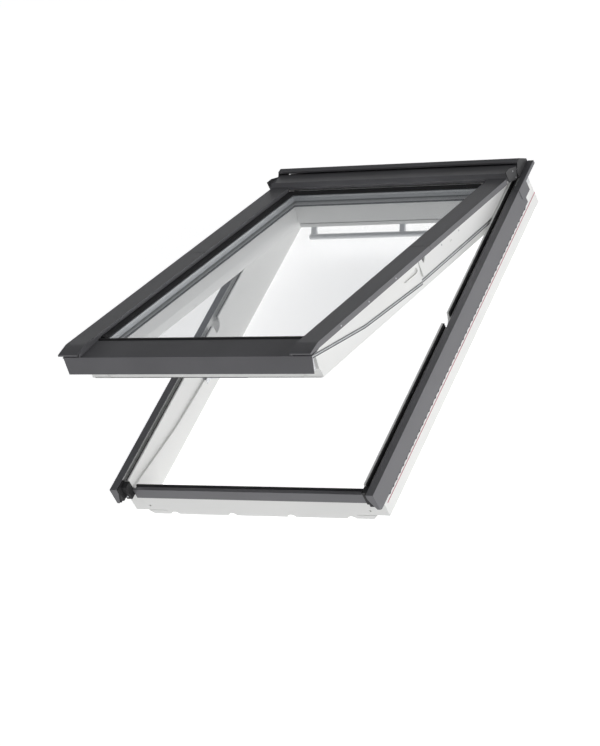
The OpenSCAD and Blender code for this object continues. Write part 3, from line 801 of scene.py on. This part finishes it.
@dataclass
class SashAssembly(SubAssembly):
    """The sash: timbers, sealed glass unit, seals, covers and pivot plates."""

    body: Body = Body.SASH
    spacer_half: float = 0.302
    spacer_low: float = 0.088
    spacer_high: float = 1.111
    pitch: float = 0.0045
    hole_n: float = -0.010
    hole_r: float = 0.0006
    screw_x: float = 0.3789
    screw_s: tuple[float, ...] = (0.150, 0.300, 0.450)
    screw_n: float = 0.010
    screw_r: float = 0.0021
    seal_x: float = 0.3570
    seal_run: tuple[Span, ...] = ((0.0245, -0.01834), (0.290, -0.054), (0.600, -0.070), (0.610, -0.070))
    upper_seal_x: float = 0.3506
    upper_seal_run: tuple[Span, ...] = ((0.6135, -0.070), (1.144, -0.070))
    line_offsets: Span = (0.0032, -0.0030)
    line_half: float = 0.0009
    line_out: float = 0.0003

    def build(self) -> None:
        """Builds every piece of the sash."""
        self.dress(Slot.WHITE_LACQUER, TIMBER, (
            "sash_bottom_rail", "sash_top_rail", "sash_left_stile", "sash_right_stile"))
        self.dress(Slot.COVER_GREY, SHEET, ("lower_cover_left", "lower_cover_right", "sash_bottom_cover"))
        self.dress(Slot.CLEAR_GLASS, PANE, ("outer_pane", "inner_pane"))
        self.dress(Slot.SPACER_METAL, SMALL, ("spacer_frame",))
        self.dress(Slot.BLACK_RUBBER, SMALL, ("glazing_gasket", "bottom_seal"))
        self.dress(Slot.GREY_SEAL, SMALL, ("side_seal_left", "side_seal_right"))
        self.dress(Slot.ZINC_STEEL, SMALL, (
            "corner_plate_left", "corner_plate_right", "pivot_hinge_left", "pivot_hinge_right", "lock_case"))
        self.dress(Slot.BAR_ALUMINIUM, PLATE, ("handle_base",))
        place = self.layout.opened
        feet = [place(side * self.screw_x, s, self.screw_n) for side in SIDES for s in self.screw_s]
        self.screws("cover_screw_heads", feet, [(side, 0.0, 0.0) for side in SIDES for _ in self.screw_s],
                    self.screw_r, Drive.STAR, ["sash_screws"])
        for side, word in zip(SIDES, ("left", "right")):
            for offset, row in zip(self.line_offsets, ("upper", "lower")):
                name = f"seal_line_{word}_{row}"
                self.seal_line(name, side * self.seal_x, offset, self.seal_run)
                self.seal_line("upper_" + name, side * self.upper_seal_x, offset, self.upper_seal_run)
        self.perforations()

    def seal_line(self, name: str, x: float, offset: float, run: Sequence[Span]) -> None:
        """Runs a thin black line along the outer face of a side seal.

        Args:
            name: The piece's name.
            x: The seal's outer face.
            offset: Distance of the line from the seal's middle, along n.
            run: The seal's middle, as s and n.
        """
        work = bmesh.new()
        rows = []
        top = x + math.copysign(self.line_out, x)
        half = self.line_half
        for s, n in run:
            rows.append([work.verts.new(self.layout.opened(across, s, n + offset + h))
                         for across, h in ((x, -half), (x, half), (top, half * 0.6), (top, -half * 0.6))])
        for a, b in zip(rows, rows[1:]):
            for i in range(4):
                j = (i + 1) % 4
                work.faces.new((a[i], a[j], b[j], b[i]))
        work.faces.new(rows[0])
        work.faces.new(list(reversed(rows[-1])))
        bmesh.ops.recalc_face_normals(work, faces=work.faces)
        mesh = bpy.data.meshes.new(name)
        work.to_mesh(mesh)
        work.free()
        mesh.materials.append(self.palette.of(Slot.BLACK_RUBBER))
        finish_piece(new_object(name, mesh), self.body, Slot.BLACK_RUBBER)

    def perforations(self) -> None:
        """Sets a row of small black discs along the four inner faces of the spacer: painted shade standing in
        for the dark of its slots.
        """
        r = self.hole_r
        head = ring_mesh("perforation_shape", [(r, 0.0), (r * 0.92, 0.00004)], 1, 0.00002, 8)
        feet: list[Vector] = []
        ways: list[Vector] = []
        half, low, high = self.spacer_half, self.spacer_low, self.spacer_high
        for i in range(int((high - low) / self.pitch) - 1):
            s = low + (i + 1) * self.pitch
            for side in SIDES:
                feet.append(self.layout.opened(side * half, s, self.hole_n))
                ways.append(self.layout.turned((-side, 0.0, 0.0)))
        for i in range(int(2 * half / self.pitch) - 1):
            x = -half + (i + 1) * self.pitch
            for s, way in ((low, 1.0), (high, -1.0)):
                feet.append(self.layout.opened(x, s, self.hole_n))
                ways.append(self.layout.turned((0.0, way, 0.0)))
        # The discs take black rubber: painted shade of the holes, not a rubber part.
        obj = scatter("spacer_perforations", feet, ways, head, self.palette.of(Slot.BLACK_RUBBER))
        finish_piece(obj, self.body, Slot.BLACK_RUBBER)


@dataclass
class FlapAssembly(SubAssembly):
    """The ventilation flap with its control bar."""

    body: Body = Body.FLAP

    def build(self) -> None:
        """Builds the flap and the bar."""
        self.dress(Slot.WHITE_LACQUER, TIMBER, ("ventilation_flap",))
        self.dress(Slot.BAR_ALUMINIUM, PLATE, ("control_bar",))


@dataclass
class HandleAssembly(SubAssembly):
    """The turning grip under the sash's lower rail."""

    body: Body = Body.HANDLE

    def build(self) -> None:
        """Builds the grip."""
        self.dress(Slot.BAR_ALUMINIUM, GRIP, ("handle_grip",))


# ---------------------------------------------------------------- studio


@dataclass
class Studio:
    """Camera, soft lights and a pale floor."""

    eye: Point = (4.14865, -4.94969, 4.91979)
    right: Point = (0.85204151, 0.36667954, -0.37359252)
    down: Point = (-0.0026231, -0.71067928, -0.70351125)
    ahead: Point = (-0.52346765, 0.60040076, -0.60456642)
    lens: float = 143.94
    aim: Point = (0.0, 0.0, 0.15)
    light_side: float = 4.0
    floor_reach: float = 30.0
    floor_drop: float = 0.001
    floor_glow: float = 0.80
    sky: Colour = (0.97, 0.985, 1.0)
    sky_strength: float = 0.15

    def camera(self) -> None:
        """Makes the scene's camera."""
        data = bpy.data.cameras.new("camera")
        data.sensor_width = 36.0
        data.lens = self.lens
        data.clip_start, data.clip_end = 0.1, 100.0
        obj = bpy.data.objects.new("camera", data)
        bpy.context.scene.collection.objects.link(obj)
        columns = [Vector(self.right), -Vector(self.down), -Vector(self.ahead), Vector(self.eye)]
        rows = [[column[row] for column in columns] for row in range(3)]
        obj.matrix_world = Matrix([*rows, [0.0, 0.0, 0.0, 1.0]])
        bpy.context.scene.camera = obj

    def light(self, name: str, place: Point, watts: float) -> None:
        """Adds a square soft light that faces the window.

        Args:
            name: The light's name.
            place: Where it stands.
            watts: Its power.
        """
        data = bpy.data.lights.new(name, "AREA")
        data.size = self.light_side
        data.energy = watts
        obj = bpy.data.objects.new(name, data)
        bpy.context.scene.collection.objects.link(obj)
        aim = Vector(self.aim) - Vector(place)
        obj.matrix_world = Matrix.Translation(place) @ aim.to_track_quat("-Z", "Y").to_matrix().to_4x4()

    def floor(self) -> None:
        """Lays the pale floor just under the frame."""
        mesh = bpy.data.meshes.new("floor")
        r = self.floor_reach
        mesh.from_pydata([(-r, -r, 0.0), (r, -r, 0.0), (r, r, 0.0), (-r, r, 0.0)], [], [(0, 1, 2, 3)])
        obj = new_object("floor", mesh)
        obj.location = (0.0, 0.0, -self.floor_drop)
        s = Shader("pale_floor")
        cloud = s.noise(0.6, 2.0)
        s.colours(cloud, "Fac", (0.86, 0.86, 0.865), (0.88, 0.88, 0.88))
        s.set(Roughness=0.9, Specular_IOR_Level=0.1)
        s.principled.inputs["Emission Color"].default_value = (1.0, 1.0, 1.0, 1.0)
        s.principled.inputs["Emission Strength"].default_value = self.floor_glow
        mesh.materials.append(s.material)

    def build(self) -> None:
        """Sets up the studio."""
        scene = bpy.context.scene
        scene.view_settings.view_transform = "Standard"
        world = bpy.data.worlds.new("studio")
        world.use_nodes = True
        sky = world.node_tree.nodes["Background"]
        sky.inputs["Color"].default_value = (*self.sky, 1.0)
        sky.inputs["Strength"].default_value = self.sky_strength
        scene.world = world
        self.camera()
        self.light("key", (6.8, -0.3, 1.2), 172.0)
        self.light("front", (-1.0, -6.0, 4.0), 46.0)
        self.light("top", (-1.5, 1.5, 6.0), 16.0)
        self.floor()


def main() -> None:
    """Builds the window piece by piece, then the studio."""
    logging.basicConfig(level=logging.INFO, format="%(name)s: %(message)s")
    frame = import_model()
    palette = Palette()
    palette.build()
    layout = Layout()
    Studio().build()
    for kind in (FrameAssembly, ArmAssembly, SashAssembly, FlapAssembly, HandleAssembly):
        kind(frame["nodes"], palette, layout).build()


if __name__ == "__main__":
    main()
